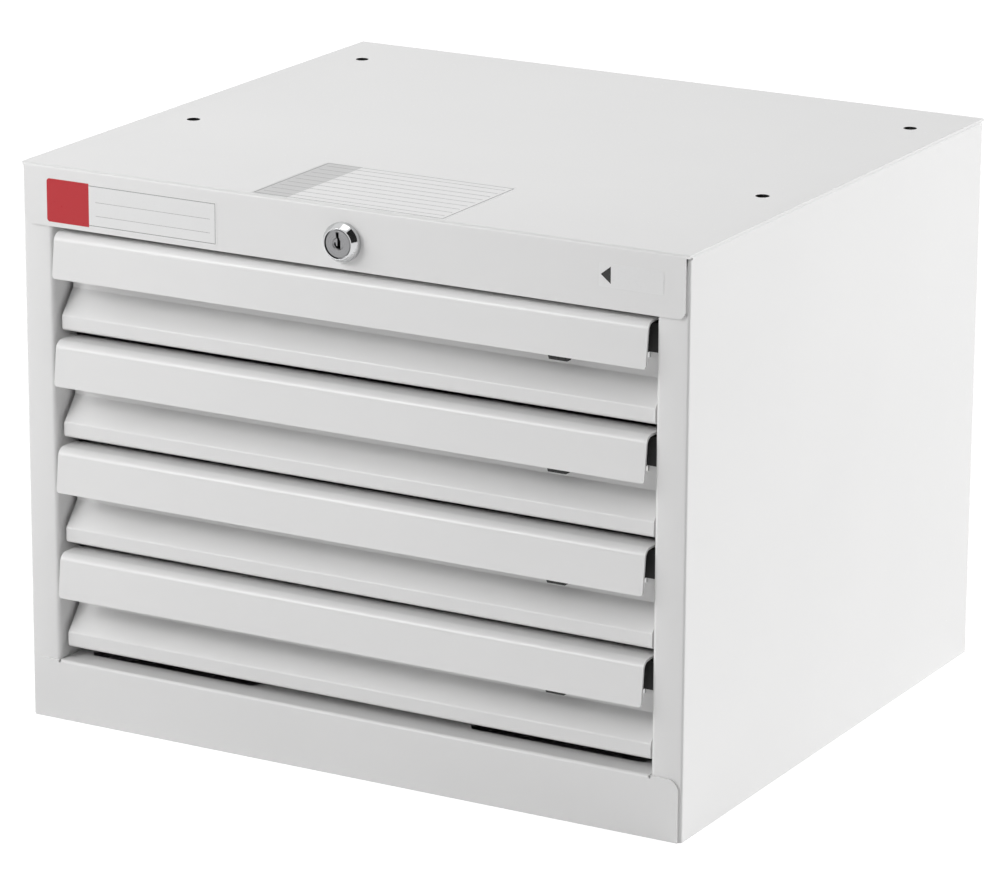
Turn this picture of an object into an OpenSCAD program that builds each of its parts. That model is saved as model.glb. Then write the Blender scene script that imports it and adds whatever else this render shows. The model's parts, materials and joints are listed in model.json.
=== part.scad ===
// Drawer cabinet for a work van: folded sheet shell, latching drawers on ball slides, one key lock. Millimetres.
// The origin is the middle of the underside, +X to the right, +Z up, and the drawers open towards -Y.
// Inside the modules y is measured back from the front face of the header, and placed() moves it into the frame.

/* [Cabinet] */
// Outside width
body_w = 457.2; // [420:0.1:560]
// Outside depth from the header's face to the back
body_d = 406.4; // [400:0.1:480]
// Sheet thickness of the shell
sheet = 1.5; // [1.2:0.1:1.8]
// Inside radius of the bends of the top and the base rail
bend_r = 0.5; // [0.3:0.1:2]
// Inside radius of the bends of the sides and the floor
side_bend_r = 1.5; // [1:0.1:2]
// Height of the header above the drawers
header_h = 38; // [37:0.5:50]
// Height of the base rail
base_h = 39; // [30:0.5:50]
// Width of the stile beside the drawers
stile_w = 21.1; // [20:0.1:26]
// Depth of the stile's return into the cabinet
return_d = 23.5; // [22:0.5:24]
// How far the header and base rail stop short of the side faces
end_inset = 2.2; // [1.8:0.1:3]
// Corner radius at the ends of the header and base rail
corner_r = 5; // [3:0.5:8]
// Depth of the base rail's top flange
rail_flange = 34; // [30:1:40]
// Distance from the front face to the rail flange's notches
notch_y = 18; // [14:0.5:24]
// Width of a notch in the rail flange
notch_w = 124; // [80:1:130]
// Distance from the middle to the centre of a notch
notch_x = 136; // [120:1:140]

/* [Bolt holes] */
// Diameter of the bolt holes in the top and floor
hole_d = 8.4; // [6.6:0.2:10]
// Distance between the holes across the cabinet
hole_dx = 400; // [300:0.5:401]
// Distance between the holes from front to back
hole_dy = 207.6; // [150:0.2:230]
// Distance from the back face to the rear holes
hole_back = 49; // [35:0.5:60]

/* [Drawers] */
// Number of drawers
drawer_count = 4; // [2:1:4]
// Distance from one drawer to the next
drawer_pitch = 68.2; // [66:0.1:80]
// Gap between two drawer fronts
drawer_gap = 4.7; // [3:0.1:5]
// Gap between the header and the top drawer's pull
header_gap = 3.3; // [2.5:0.1:5]
// Gap between the bottom drawer and the base rail
base_gap = 7.2; // [6:0.1:16]
// Gap between the end of a drawer front and the stile
front_gap = 2.6; // [2.2:0.1:4]
// Gap between the end of a drawer pull and the stile
end_gap = 3.5; // [3:0.1:5]
// Sheet thickness of the trays and fronts
tray_sheet = 1.2; // [1:0.1:1.4]
// How far a drawer opens
travel = 340; // [250:1:350]

/* [Drawer front and pull] */
// Height of the pull's face
pull_h = 28; // [26:0.5:30]
// Sheet thickness of the pull
pull_sheet = 1.5; // [1.2:0.1:1.6]
// Outside radius of the pull's nose
nose_r = 6; // [4:0.5:8]
// How far the top of the pull stands in front of the header
pull_out = 2; // [1:0.5:3]
// How much further out the pull's lower edge is
pull_lean = 3; // [1:0.5:4]
// Radius of the lower corners of the pull
pull_corner_r = 2.5; // [2:0.5:6]
// Height of the lip at the bottom of a front
lip_h = 9.4; // [7:0.2:12]
// Distance from the header's face back to the lip
lip_y = 6.4; // [4:0.2:8]
// Height of the slope above the lip
slope_h = 15; // [12:0.5:16]
// Depth of the slope from the lip to the wall
slope_d = 12.6; // [12.2:0.2:14]

/* [Slides] */
// Height of a slide
slide_h = 35; // [33:0.5:36]
// Thickness of a slide
slide_t = 12.7; // [12.7:0.1:14]
// Length of a slide
slide_l = 350; // [300:1:352]
// Distance from the front face to the slides
slide_y = 36; // [35:0.5:38]
// Sheet thickness of the slide members
slide_sheet = 1.2; // [1:0.1:1.2]
// Diameter of the balls
ball_d = 3; // [2.6:0.1:3]
// Number of balls in one row of a cage
ball_count = 7; // [4:1:9]

/* [Latch] */
// How far a latch slides
throw = 8; // [6:0.5:9]
// Height of the latch bar
bar_h = 19.5; // [15:0.5:20]
// Length of the latch bar without its tongue
bar_l = 78; // [70:1:90]
// Width of the finger tab
tab_w = 14; // [9:0.5:16]
// How far the finger tab hangs below the pull
tab_drop = 5; // [2:0.5:6]
// Distance from the left end of the bar to the finger tab
tab_at = 13; // [4:0.5:16]
// Wire diameter of the latch spring
wire_d = 0.9; // [0.7:0.1:1]
// Number of coils in the latch spring
coils = 9; // [6:1:10]

/* [Lock] */
// Distance from the top of the cabinet to the lock's centre
lock_drop = 21; // [20:0.2:24]
// Diameter of the lock's bezel at the header
bezel_d = 24.2; // [23:0.1:28]
// Diameter of the bezel's front edge
bezel_face_d = 19.2; // [18:0.1:22]
// How far the bezel stands out
bezel_out = 7; // [5:0.5:9]
// Diameter of the barrel through the header
barrel_d = 18.6; // [17:0.2:19]
// Length of the barrel behind the header's face
barrel_l = 24; // [22:0.5:24]
// Radius at which the cam's pin drives the lock bar
cam_r = 7.5; // [7:0.1:8]

/* [Hidden] */
DRAWER_PARTS = ["front", "tray", "pull", "latch", "latch_guides", "latch_spring", "slide_members",
    "slide_middles", "ball_cages_outer", "ball_cages_inner"];

white = [0.92, 0.92, 0.91];
steel = [0.72, 0.74, 0.76];
chrome = [0.8, 0.81, 0.83];
black = [0.06, 0.06, 0.07];

bend_steps = 6;
slack = 0.3;

// The shell
front_h = drawer_pitch - drawer_gap;
body_h = base_h + base_gap + (drawer_count - 1) * drawer_pitch + front_h + header_gap + header_h;
wall_x = body_w / 2;
wall_in = wall_x - sheet;
open_x = wall_x - stile_w;
header_z = body_h - header_h;
return_y = sheet + return_d;
shell_r = bend_r + sheet / 2;
bend_out = bend_r + sheet;
side_r = side_bend_r + sheet / 2;
side_out = side_bend_r + sheet;
// The tight bend under the top, the flanges of the sides and the edge of the floor pan
edge_r = 0.3;
edge_out = edge_r + sheet;
side_flange = 16;
pan_h = 14;
// What the rear bend or the back panel takes up in front of the back face
rear_in = max(side_out, 2 * sheet);
holes = [for (x = [-1, 1]) for (y = [body_d - hole_back, body_d - hole_back - hole_dy]) [x * hole_dx / 2, y]];

// The drawers
function top_of(n) = body_h - header_h - header_gap - (n - 1) * drawer_pitch;
wall_y = lip_y + slope_d;
front_x = open_x - front_gap;
pull_x = open_x - end_gap;
tray_bend = 1.2;
tray_r = tray_bend + tray_sheet / 2;
tray_y = wall_y + tray_sheet;
tray_short = 2;
tray_back = slide_y + slide_l - tray_short;
tray_drop = 6;
hem_h = 8;
// The front's flanges: under the tray, and at its top edge
foot_flange = 20;
brow_drop = 3.5;
brow_flange = 8;
hinge_y = wall_y - pull_sheet;
attach_short = 1;
attach_h = pull_h - attach_short;

// The slides, on the right: the cabinet member's face and the tray's face
slide_gap = 0.5;
slide_x = open_x - slide_gap;
tray_x = slide_x - slide_t;
slide_below = 13.5;
slide_drop = tray_drop + slide_below + slide_h / 2;
ball_play = 0.4;
run = ball_d + ball_play;
cage_t = 0.6;
web_gap = 0.5;
mid_h = slide_h - 2 * slide_sheet - 2 * run;
inner_h = mid_h - 2 * slide_sheet - 2 * run;
mid_x = slide_x - slide_sheet - 2 * web_gap - cage_t;
cage_out_x = slide_x - slide_sheet - web_gap;
cage_in_x = mid_x - slide_sheet - web_gap;
ball_out_at = 6;
ball_out_x = slide_x - ball_out_at;
ball_in_at = 7.8;
ball_in_x = slide_x - ball_in_at;
cage_in = 15;
cage_l = slide_l - travel / 2 - 2 * cage_in;
cage_y = slide_y + travel / 4 + cage_in;
upright_w = 36;
upright_in = 30;
upright_y = [slide_y + upright_in, slide_y + slide_l - upright_in - upright_w];
upright_t = 1.2;

// The latches
latch_gap = 0.5;
strike_gap = 2.2;
bar_y0 = 7;
bar_y1 = hinge_y - latch_gap;
bar_short = 1;
bar_x1 = open_x - throw - bar_short;
bar_x0 = bar_x1 - bar_l;
tongue_short = 1.2;
tongue_x = open_x - tongue_short;
tongue_in = 1;
tongue_t = 3;
tongue_y0 = bar_y0 + tongue_in / 2;
tongue_y1 = bar_y1 - 2 * tongue_in;
function bar_top(n) = top_of(n) - pull_sheet - latch_gap;
tab_x = bar_x0 + tab_at;
tab_t = 5;
tab_in = 0.9;
tab_slant = 3;
spring_l = 38;
stop_x = bar_x0 - spring_l;
spring_r = 3.6;
spring_y = (bar_y0 + bar_y1) / 2;
stub_d = 4.6;
stub_l = 5;
guide_w = 12;
guide_in = 3;
guide_lip = 5;
guide_foot = 4.5;
guide_bend = 0.6;
stop_w = 12;
stop_h = 14;

// The lock
lock_z = body_h - lock_drop;
bore_r = 6.1;
bezel_wall = 3.4;
bezel_lip = 0.6;
plug_gap = 0.6;
head_r = bezel_face_d / 2 - bezel_lip - plug_gap;
// The keyway's outline around the plug's centre: a stepped slot with a hook at the lower left
keyway = [[-1.5, 7.1], [0.7, 7.1], [0.7, 2.6], [1.4, 1.8], [1.4, -3.2], [-0.6, -3.2], [-1.8, -2.6], [-3, -0.8],
    [-2.8, 0.6], [-1.9, 0.6], [-1.5, -1.2], [-0.7, -1.6], [-0.7, 1.8]];
keyway_l = 14;
cam_y = barrel_l + 0.4;
cam_t = 2;
pin_d = 4;
lockbar_y = cam_y + cam_t + 1.8;
lockbar_t = 2.5;
pin_a = 45;
pin_x = cam_r * cos(pin_a);
lock_move = 2 * pin_x;
lockbar_w = 7.5;
bar_guide_t = 1.2;
bar_guide_gap = 0.5;
lockbar_x1 = wall_in - bar_guide_t - bar_guide_gap;
lockbar_x0 = lockbar_x1 - lockbar_w;
tooth_in = 1.4;
tooth_x = open_x + tooth_in;
lug_gap = 2;
lug_y = lockbar_y + lockbar_t + lug_gap;
lug_h = 8;
lug_t = 3;
lug_low = 3;
lug_drop = tray_drop + lug_low;
lug_short = 4;
lug_x = open_x - lug_short;
stud_x = [70, 165];
stud_up = 6;
stud_d = 5;
stud_head_d = 8.5;
stud_head_t = 1.2;
lockbar_foot = 26;
lockbar_z0 = top_of(drawer_count) - lug_drop - lug_h - lockbar_foot;
nut_d = 27;
nut_h = 5;

// The front of the cabinet in the frame, so that the whole is centred from front to back
front_y = -(body_d + bezel_out) / 2 + bezel_out;

function unit(v) = v / norm(v);
function left_of(v) = [-v[1], v[0]];
function turned(v, a) = [v[0] * cos(a) - v[1] * sin(a), v[0] * sin(a) + v[1] * cos(a)];

// One bend of a sheet's centre line: points on its arc, each with the sheet's normal
function bend(a, b, c, r) =
    let (u = unit(b - a), w = unit(c - b), turn = atan2(cross(u, w), u * w), side = sign(turn),
        centre = b - u * r * tan(abs(turn) / 2) + left_of(u) * side * r)
    [for (k = [0 : bend_steps]) let (n = turned(left_of(u), turn * k / bend_steps)) [centre - n * side * r, n]];

// The centre line p of a sheet with the centre radius r[i] at its i-th corner: points with normals
function bent(p, r) =
    let (m = len(p) - 1)
    concat([[p[0], left_of(unit(p[1] - p[0]))]],
        [for (i = [1 : m - 1]) each bend(p[i - 1], p[i], p[i + 1], is_list(r) ? r[i - 1] : r)],
        [[p[m], left_of(unit(p[m] - p[m - 1]))]]);

// The outline of a sheet of thickness t folded along that line
function folded(p, t, r) =
    let (line = bent(p, r))
    concat([for (q = line) q[0] + q[1] * t / 2],
        [for (i = [len(line) - 1 : -1 : 0]) line[i][0] - line[i][1] * t / 2]);

module placed() { translate([0, front_y, 0]) children(); }

// A [y, z] section drawn out along X, centred
module along_x(l) { rotate([90, 0, 90]) linear_extrude(l, center = true) children(); }

// An [x, z] section drawn out along Y from y
module along_y(y, l) { translate([0, y + l, 0]) rotate([90, 0, 0]) linear_extrude(l) children(); }

// A box between two corners
module block(a, b) { translate(a) cube(b - a); }

// What rounds off a corner at the origin whose plate lies towards -x and +z
module corner_cut(r, y, l) {
    along_y(y, l) difference() {
        translate([-r, -1]) square([r + 1, r + 1]);
        translate([-r, r]) circle(r, $fn = 48);
    }
}

module both_sides() {
    children();
    mirror([1, 0, 0]) children();
}

// A bar along Y for a round piece whose front is at y
module rod_y(x, y, z, d, l) { translate([x, y, z]) rotate([-90, 0, 0]) cylinder(d = d, h = l, $fn = 48); }

module rod_x(x, y, z, d, l) { translate([x, y, z]) rotate([0, 90, 0]) cylinder(d = d, h = l, $fn = 40); }

module top_panel() {
    lug_z = body_h - sheet - edge_out + slack;
    lug_y = sheet + side_out;
    // Plan of a lug that fills the front corner above the side's edge, with the round of the side's corner
    lug = concat([for (a = [0 : 15 : 75]) [wall_x - side_out * (1 - sin(a)), lug_y - side_out * cos(a)]],
        [[wall_x, lug_y - slack], [wall_x - 6, lug_y - slack], [wall_x - 6, sheet]]);
    color(white) difference() {
        union() {
            difference() {
                along_x(body_w) polygon(folded([[sheet / 2, header_z], [sheet / 2, body_h - sheet / 2],
                    [body_d, body_h - sheet / 2]], sheet, shell_r));
                both_sides() {
                    block([wall_x - end_inset, -1, header_z - 1], [wall_x + 1, sheet + 0.2, body_h - bend_out]);
                    translate([wall_x - end_inset, 0, header_z]) corner_cut(corner_r, -1, sheet + 1.2);
                }
            }
            // Return along the header's lower edge, between the stiles
            along_x(2 * open_x - 1) polygon(folded([[18, header_z + sheet / 2], [sheet / 2, header_z + sheet / 2],
                [sheet / 2, header_z + 12]], sheet, shell_r));
            both_sides() translate([0, 0, lug_z]) linear_extrude(body_h - sheet / 2 - lug_z) polygon(lug);
        }
        for (h = holes) translate([h[0], h[1], body_h - sheet - 1]) cylinder(d = hole_d, h = sheet + 2, $fn = 48);
        rod_y(0, -1, lock_z, barrel_d + 0.4, sheet + 2);
    }
}

// The right side: wall with a stile and its return in front, and flanges at the back and under the top
module side_panel() {
    z1 = body_h - sheet;
    union() {
        linear_extrude(z1 - edge_out) polygon(folded([[open_x + sheet / 2, return_y],
            [open_x + sheet / 2, 1.5 * sheet], [wall_x - sheet / 2, 1.5 * sheet],
            [wall_x - sheet / 2, body_d - sheet / 2], [wall_x - side_flange, body_d - sheet / 2]], sheet, side_r));
        along_y(sheet + side_out, body_d - sheet - side_out - rear_in) polygon(folded([
            [wall_x - sheet / 2, z1 - side_flange], [wall_x - sheet / 2, z1 - sheet / 2],
            [wall_x - side_flange, z1 - sheet / 2]], sheet, edge_r + sheet / 2));
    }
}

module side_panel_left() { color(white) mirror([1, 0, 0]) side_panel(); }

module side_panel_right() {
    color(white) difference() {
        side_panel();
        // A strike slot for each latch's tongue
        for (n = [1 : drawer_count])
            block([open_x - 1, bar_y0 - strike_gap, bar_top(n) - bar_h - strike_gap],
                [open_x + sheet + 1, bar_y1 + strike_gap, bar_top(n) + strike_gap]);
    }
}

module base_rail() {
    mid_x0 = open_x - slack;
    relief_d = 1.8;
    color(white) difference() {
        union() {
            along_x(2 * mid_x0) polygon(folded([[sheet / 2, 0], [sheet / 2, base_h - sheet / 2],
                [rail_flange, base_h - sheet / 2]], sheet, shell_r));
            both_sides() block([mid_x0 - 1, 0, 0], [wall_x - end_inset, sheet, base_h - bend_r - sheet]);
            both_sides() block([mid_x0 + 0.8, 0, 0], [wall_x - end_inset, sheet, base_h]);
        }
        both_sides() {
            translate([wall_x - end_inset, 0, base_h]) mirror([0, 0, 1]) corner_cut(corner_r + 2, -1, sheet + 2);
            // Bend relief at the end of the flange
            rod_y(mid_x0 + 0.4, -1, base_h - relief_d / 2, relief_d, bend_out + 2);
            // Notch in the rear edge of the flange
            translate([notch_x, 0, base_h - sheet - 1]) linear_extrude(sheet + 2) polygon([
                [-notch_w / 2 + 4, notch_y], [notch_w / 2 - 4, notch_y], [notch_w / 2, notch_y + 6],
                [notch_w / 2, rail_flange + 1], [-notch_w / 2, rail_flange + 1], [-notch_w / 2, notch_y + 6]]);
        }
    }
}

// A pan between the side walls, cut away round the stiles and the rear flanges
module floor_panel() {
    y0 = return_y + slack;
    y1 = body_d - rear_in - slack;
    x0 = open_x - slack;
    x1 = wall_x - side_flange - slack;
    color(white) difference() {
        union() {
            along_y(y0, y1 - y0) polygon(folded([[sheet / 2 - wall_in, pan_h], [sheet / 2 - wall_in, sheet / 2],
                [wall_in - sheet / 2, sheet / 2], [wall_in - sheet / 2, pan_h]], sheet, side_r));
            block([-x0, sheet, 0], [x0, y0 + 1, sheet]);
            block([-x1, y1 - 1, 0], [x1, body_d, sheet]);
        }
        for (h = holes) translate([h[0], h[1], -1]) cylinder(d = hole_d, h = sheet + 2, $fn = 48);
    }
}

// A flat sheet in front of the rear flanges
module back_panel() {
    x0 = wall_in - side_bend_r - slack;
    color(white) block([-x0, body_d - 2 * sheet, sheet], [x0, body_d - sheet, body_h - sheet]);
}

// Hat sections on the side walls, with slots for the hooks of the slides
module slide_uprights() {
    t = upright_t;
    color(steel) both_sides() for (y = upright_y) difference() {
        translate([0, 0, base_h]) linear_extrude(header_z - base_h) polygon(folded([
            [wall_in - t / 2, y - 11], [wall_in - t / 2, y], [slide_x + t / 2, y], [slide_x + t / 2, y + upright_w],
            [wall_in - t / 2, y + upright_w], [wall_in - t / 2, y + upright_w + 11]], t, 1.2 + t / 2));
        for (n = [1 : drawer_count])
            translate([slide_x - 1, y + upright_w / 2 - 2, slide_z(n) - 6]) cube([t + 2, 4, 12]);
    }
}

function slide_z(n) = top_of(n) - slide_drop;

// A channel section of height h, its web's face at x, opening towards -x (or +x), with lips turned by lip
function channel(x, h, reach, lip) =
    let (t = slide_sheet, s = sign(reach), a = x - s * t / 2, b = x - reach + s * t / 2, z = h / 2 - t / 2)
    lip == 0
        ? folded([[x - reach, z], [a, z], [a, -z], [x - reach, -z]], t, t)
        : folded([[b, z - lip], [b, z], [a, z], [a, -z], [b, -z], [b, -z + lip]], t, t);

module slide_cabinet_members() {
    color(steel) both_sides() for (n = [1 : drawer_count]) translate([0, 0, slide_z(n)]) {
        along_y(slide_y, slide_l) polygon(channel(slide_x, slide_h, 9.6, 2.2));
        for (y = upright_y) translate([slide_x, y + upright_w / 2 - 1.6, 0]) {
            translate([-0.2, 0, -3]) cube([upright_t + 0.4, 3.2, 8]);
            translate([upright_t + slack - 0.1, 0, -9]) cube([1.4, 3.2, 14]);
        }
    }
}

module drawer_slide_members(n) {
    color(steel) both_sides() translate([0, 0, slide_z(n)])
        along_y(slide_y, slide_l) polygon(channel(tray_x, inner_h, -6.6, 0));
}

module drawer_slide_middles(n) {
    color(steel) both_sides() translate([0, 0, slide_z(n)])
        along_y(slide_y, slide_l) polygon(channel(mid_x, mid_h, 6.4, 0));
}

// A ball cage: web beside the members' webs and two perforated flanges with their balls
module ball_cage(x, flange_x, ball_x, h) {
    t = cage_t;
    z = h / 2 + run / 2;
    step = cage_l / ball_count;
    difference() {
        along_y(cage_y, cage_l)
            polygon(folded([[flange_x, z], [x - t / 2, z], [x - t / 2, -z], [flange_x, -z]], t, t));
        for (s = [-1, 1]) for (k = [0 : ball_count - 1])
            translate([ball_x, cage_y + (k + 0.5) * step, s * z - 1]) cylinder(d = ball_d + slack, h = 2, $fn = 32);
    }
    for (s = [-1, 1]) for (k = [0 : ball_count - 1])
        translate([ball_x, cage_y + (k + 0.5) * step, s * z]) sphere(d = ball_d, $fn = 24);
}

module drawer_ball_cages_outer(n) {
    color(steel) both_sides() translate([0, 0, slide_z(n)])
        ball_cage(cage_out_x, ball_out_x - ball_d / 2 - ball_play, ball_out_x, mid_h);
}

module drawer_ball_cages_inner(n) {
    color(steel) both_sides() translate([0, 0, slide_z(n)])
        ball_cage(cage_in_x, ball_in_x - ball_d / 2 - ball_play, ball_in_x, inner_h);
}

// One folded sheet: bottom flange, lip, slope, wall, a stiffening flange at the top, and returns at the ends
module drawer_front(n) {
    t = tray_sheet;
    z0 = top_of(n);
    zb = z0 - front_h;
    lower = [[lip_y + foot_flange, zb + t / 2], [lip_y + t / 2, zb + t / 2], [lip_y + t / 2, zb + lip_h],
        [wall_y + t / 2, zb + lip_h + slope_h]];
    color(white) union() {
        along_x(2 * front_x) polygon(folded(concat(lower,
            [[wall_y + t / 2, z0 - brow_drop], [wall_y + brow_flange, z0 - brow_drop]]), t, tray_r));
        both_sides() translate([front_x - t / 2, 0, 0]) along_x(t) polygon([for (q = bent(lower, tray_r)) q[0]]);
    }
}

// Height of the underside of a front's slope at y, with slack, for a front whose bottom is at zb
function slope_z(y, zb) = zb + lip_h + (y - lip_y - tray_sheet / 2) * slope_h / slope_d
    - (tray_sheet / 2 + slack) * norm([slope_d, slope_h]) / slope_d;

// Pan with hemmed sides, a back, and a lug on the right for the lock bar's tooth
module drawer_tray(n) {
    t = tray_sheet;
    z0 = top_of(n);
    z1 = z0 - tray_drop;
    zb = z0 - front_h + t;
    color(white) union() {
        along_y(tray_y, tray_back - tray_y) polygon(folded([[-tray_x + t / 2, z1], [-tray_x + t / 2, zb + t / 2],
            [tray_x - t / 2, zb + t / 2], [tray_x - t / 2, z1]], t, tray_r));
        both_sides() block([tray_x - 2 * t, tray_y + 6, z1 - hem_h], [tray_x - t / 2, tray_back, z1]);
        block([-tray_x + tray_r, tray_back - t, zb + t / 2], [tray_x - tray_r, tray_back, z1]);
        both_sides() block([tray_x - tray_r - 1, tray_back - t, zb + tray_r + 1], [tray_x - t / 2, tray_back, z1]);
        block([tray_x - t / 2, lug_y, z0 - lug_drop - lug_h], [lug_x, lug_y + lug_t, z0 - lug_drop]);
        // Cheeks that close the ends of the space behind the slope
        y0 = lip_y + t + slack;
        both_sides() translate([tray_x - t / 2, 0, 0]) along_x(t) polygon([[tray_y + 1, zb + tray_r],
            [y0 + 1.5, zb + tray_r], [y0, zb + tray_r + 1.5], [y0, slope_z(y0, zb - t)],
            [tray_y, slope_z(tray_y, zb - t)], [tray_y + 1, slope_z(tray_y, zb - t)]]);
    }
}

// Folded channel along the top of the front: flange on the wall, top, nose and leaning face
module drawer_pull(n) {
    t = pull_sheet;
    z0 = top_of(n);
    lean = atan2(pull_lean, pull_h);
    color(white) difference() {
        along_x(2 * pull_x) polygon(folded([[wall_y - t / 2, z0 - attach_h], [wall_y - t / 2, z0 - t / 2],
            [-pull_out + t / 2, z0 - t / 2], [-pull_out - pull_lean + t / 2, z0 - pull_h]], t,
            [1.2 + t / 2, nose_r - t / 2]));
        both_sides() translate([pull_x, 0, z0 - pull_h - sin(lean) * t / 2])
            corner_cut(pull_corner_r, -pull_out - pull_lean - 3, pull_out + pull_lean + 5);
    }
}

// Sliding latch: bar with moulded pockets, finger tab, bevelled tongue and a stub for its spring
module drawer_latch(n) {
    z1 = bar_top(n);
    z0 = z1 - bar_h;
    zm = (z0 + z1) / 2;
    pocket = (bar_l - tab_at - tab_w - 12) / 2;
    color(black) union() {
        difference() {
            block([bar_x0, bar_y0, z0], [bar_x1, bar_y1, z1]);
            for (k = [0, 1]) translate([tab_x + tab_w + 4 + k * (pocket + 3), bar_y0 + 3, z0 + 2.5])
                cube([pocket, bar_y1 - bar_y0, bar_h - 5]);
        }
        // The tongue, bevelled behind so that it rides over the stile as the drawer shuts
        translate([0, 0, z0 + tongue_in]) linear_extrude(bar_h - 2 * tongue_in) polygon([[bar_x1 - 1, tongue_y0],
            [tongue_x, tongue_y0], [tongue_x, tongue_y0 + tongue_t], [bar_x1 + 1.5, tongue_y1],
            [bar_x1 - 1, tongue_y1]]);
        // The finger tab, waisted and ribbed
        zt = top_of(n) - pull_h - tab_drop;
        along_y(bar_y0, tab_t) polygon([[tab_x, z0 + 1], [tab_x, zt + tab_slant], [tab_x + tab_in, zt],
            [tab_x + tab_w - tab_in, zt], [tab_x + tab_w, zt + tab_slant], [tab_x + tab_w, z0 + 1]]);
        for (k = [0 : 2]) block([tab_x + 2 + k * (tab_w - 5.2) / 2, bar_y0 - 0.6, zt + 1],
            [tab_x + 3.2 + k * (tab_w - 5.2) / 2, bar_y0 + 1, z0 - 1]);
        rod_x(bar_x0 - stub_l, spring_y, zm, stub_d, stub_l + 1);
    }
}

// Two hooked ledges that carry the latch, and the stop that its spring pushes against
module drawer_latch_guides(n) {
    t = tray_sheet;
    z0 = bar_top(n) - bar_h - slack - t / 2;
    zm = bar_top(n) - bar_h / 2;
    guide_x0 = tab_x + tab_w + throw + guide_in;
    guide_step = bar_x1 - guide_in - guide_w - guide_x0;
    color(steel) {
        for (k = [0, 1]) translate([guide_x0 + k * guide_step, 0, 0]) rotate([90, 0, 90])
            linear_extrude(guide_w) polygon(folded([[hinge_y - t / 2, z0 - guide_foot], [hinge_y - t / 2, z0],
                [bar_y0 - slack - t / 2, z0], [bar_y0 - slack - t / 2, z0 + guide_lip]], t, guide_bend + t / 2));
        union() {
            block([stop_x - t, bar_y0, zm - stop_h / 2], [stop_x, hinge_y, zm + stop_h / 2]);
            block([stop_x - stop_w, hinge_y - t, zm - stop_h / 2], [stop_x, hinge_y, zm + stop_h / 2]);
            rod_x(stop_x - t / 2, spring_y, zm, stub_d, stub_l + t / 2);
        }
    }
}

// Coil spring as one tube on a helix with a closed turn at each end
spring_x0 = stop_x + slack + wire_d / 2;
spring_x1 = bar_x0 - slack - wire_d / 2;
spring_rings = 8;
spring_sides = 6;
end_pitch = wire_d + 0.5;
spring_pitch = (spring_x1 - spring_x0 - 2 * end_pitch) / (coils - 2);
function spring_at(u) = let (x = u <= 1 ? u * end_pitch : u >= coils - 1 ? (u - coils + 1) * end_pitch
        + end_pitch + (coils - 2) * spring_pitch : end_pitch + (u - 1) * spring_pitch)
    [spring_x0 + x, spring_r * cos(360 * u), spring_r * sin(360 * u)];
spring_line = [for (k = [0 : coils * spring_rings]) spring_at(k / spring_rings)];
spring_gap = min([for (i = [0 : len(spring_line) - 1 - spring_rings])
    norm(spring_line[i + spring_rings] - spring_line[i])]) - wire_d;
echo(spring_least_gap_mm = spring_gap);

module coil_spring() {
    m = len(spring_line);
    pts = [for (k = [0 : m - 1]) let (p = spring_line[k], q = spring_line[min(k + 1, m - 1)],
            o = spring_line[max(k - 1, 0)], d = unit(q - o), e = unit([0, p[1], p[2]]), f = cross(d, e))
        each [for (s = [0 : spring_sides - 1]) let (a = 360 * s / spring_sides)
            p + (unit(cross(f, d)) * cos(a) + unit(f) * sin(a)) * wire_d / 2]];
    faces = concat([[for (s = [0 : spring_sides - 1]) s]],
        [for (k = [0 : m - 2]) for (s = [0 : spring_sides - 1]) let (a = k * spring_sides, b = (s + 1) % spring_sides)
            each [[a + s, a + spring_sides + s, a + b], [a + spring_sides + s, a + spring_sides + b, a + b]]],
        [[for (s = [spring_sides - 1 : -1 : 0]) (m - 1) * spring_sides + s]]);
    polyhedron(pts, faces);
}

module drawer_latch_spring(n) {
    color(steel) translate([0, spring_y, bar_top(n) - bar_h / 2]) coil_spring();
}

// Turned pieces of the lock: [radius, distance in front of the header's face]
module turned_lock(points) { translate([0, 0, lock_z]) rotate([90, 0, 0]) rotate_extrude($fn = 96) polygon(points); }

module lock_barrel() {
    r = bezel_d / 2;
    f = bezel_face_d / 2;
    g = head_r + plug_gap;
    color(chrome) turned_lock([[bore_r, -barrel_l], [barrel_d / 2, -barrel_l], [barrel_d / 2, 0], [r, 0],
        [r, bezel_wall - 0.3], [r - 0.1, bezel_wall], [f + 0.1, bezel_out - 0.2], [f - 0.1, bezel_out],
        [g + 0.1, bezel_out], [g, bezel_out - 0.1], [g, bezel_out - 3], [bore_r, bezel_out - 3]]);
}

module lock_nut() {
    color(steel) difference() {
        translate([0, sheet, lock_z]) rotate([-90, 30, 0]) cylinder(d = nut_d, h = nut_h, $fn = 6);
        rod_y(0, sheet - 1, lock_z, barrel_d + 0.1, nut_h + 2);
    }
}

// The plug: head with a stepped keyway in a dished face, shank, and a square for the cam
module lock_plug() {
    front = -bezel_out + 0.4;
    color(chrome) difference() {
        union() {
            turned_lock([[0, -barrel_l - 0.2], [bore_r - 0.1, -barrel_l - 0.2], [bore_r - 0.1, bezel_out - 2.8],
                [head_r, bezel_out - 2.8], [head_r, bezel_out - 0.7], [head_r - 0.3, bezel_out - 0.4],
                [3.9, bezel_out - 0.4], [3.3, bezel_out - 1.2], [0, bezel_out - 1.2]]);
            block([-3.5, barrel_l, lock_z - 3.5], [3.5, cam_y + cam_t - 0.3, lock_z + 3.5]);
        }
        translate([0, 0, lock_z]) along_y(front - 1, keyway_l + 1) polygon(keyway);
        rod_y(0, barrel_l - 8, lock_z, 3.8, 20);
    }
}

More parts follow.
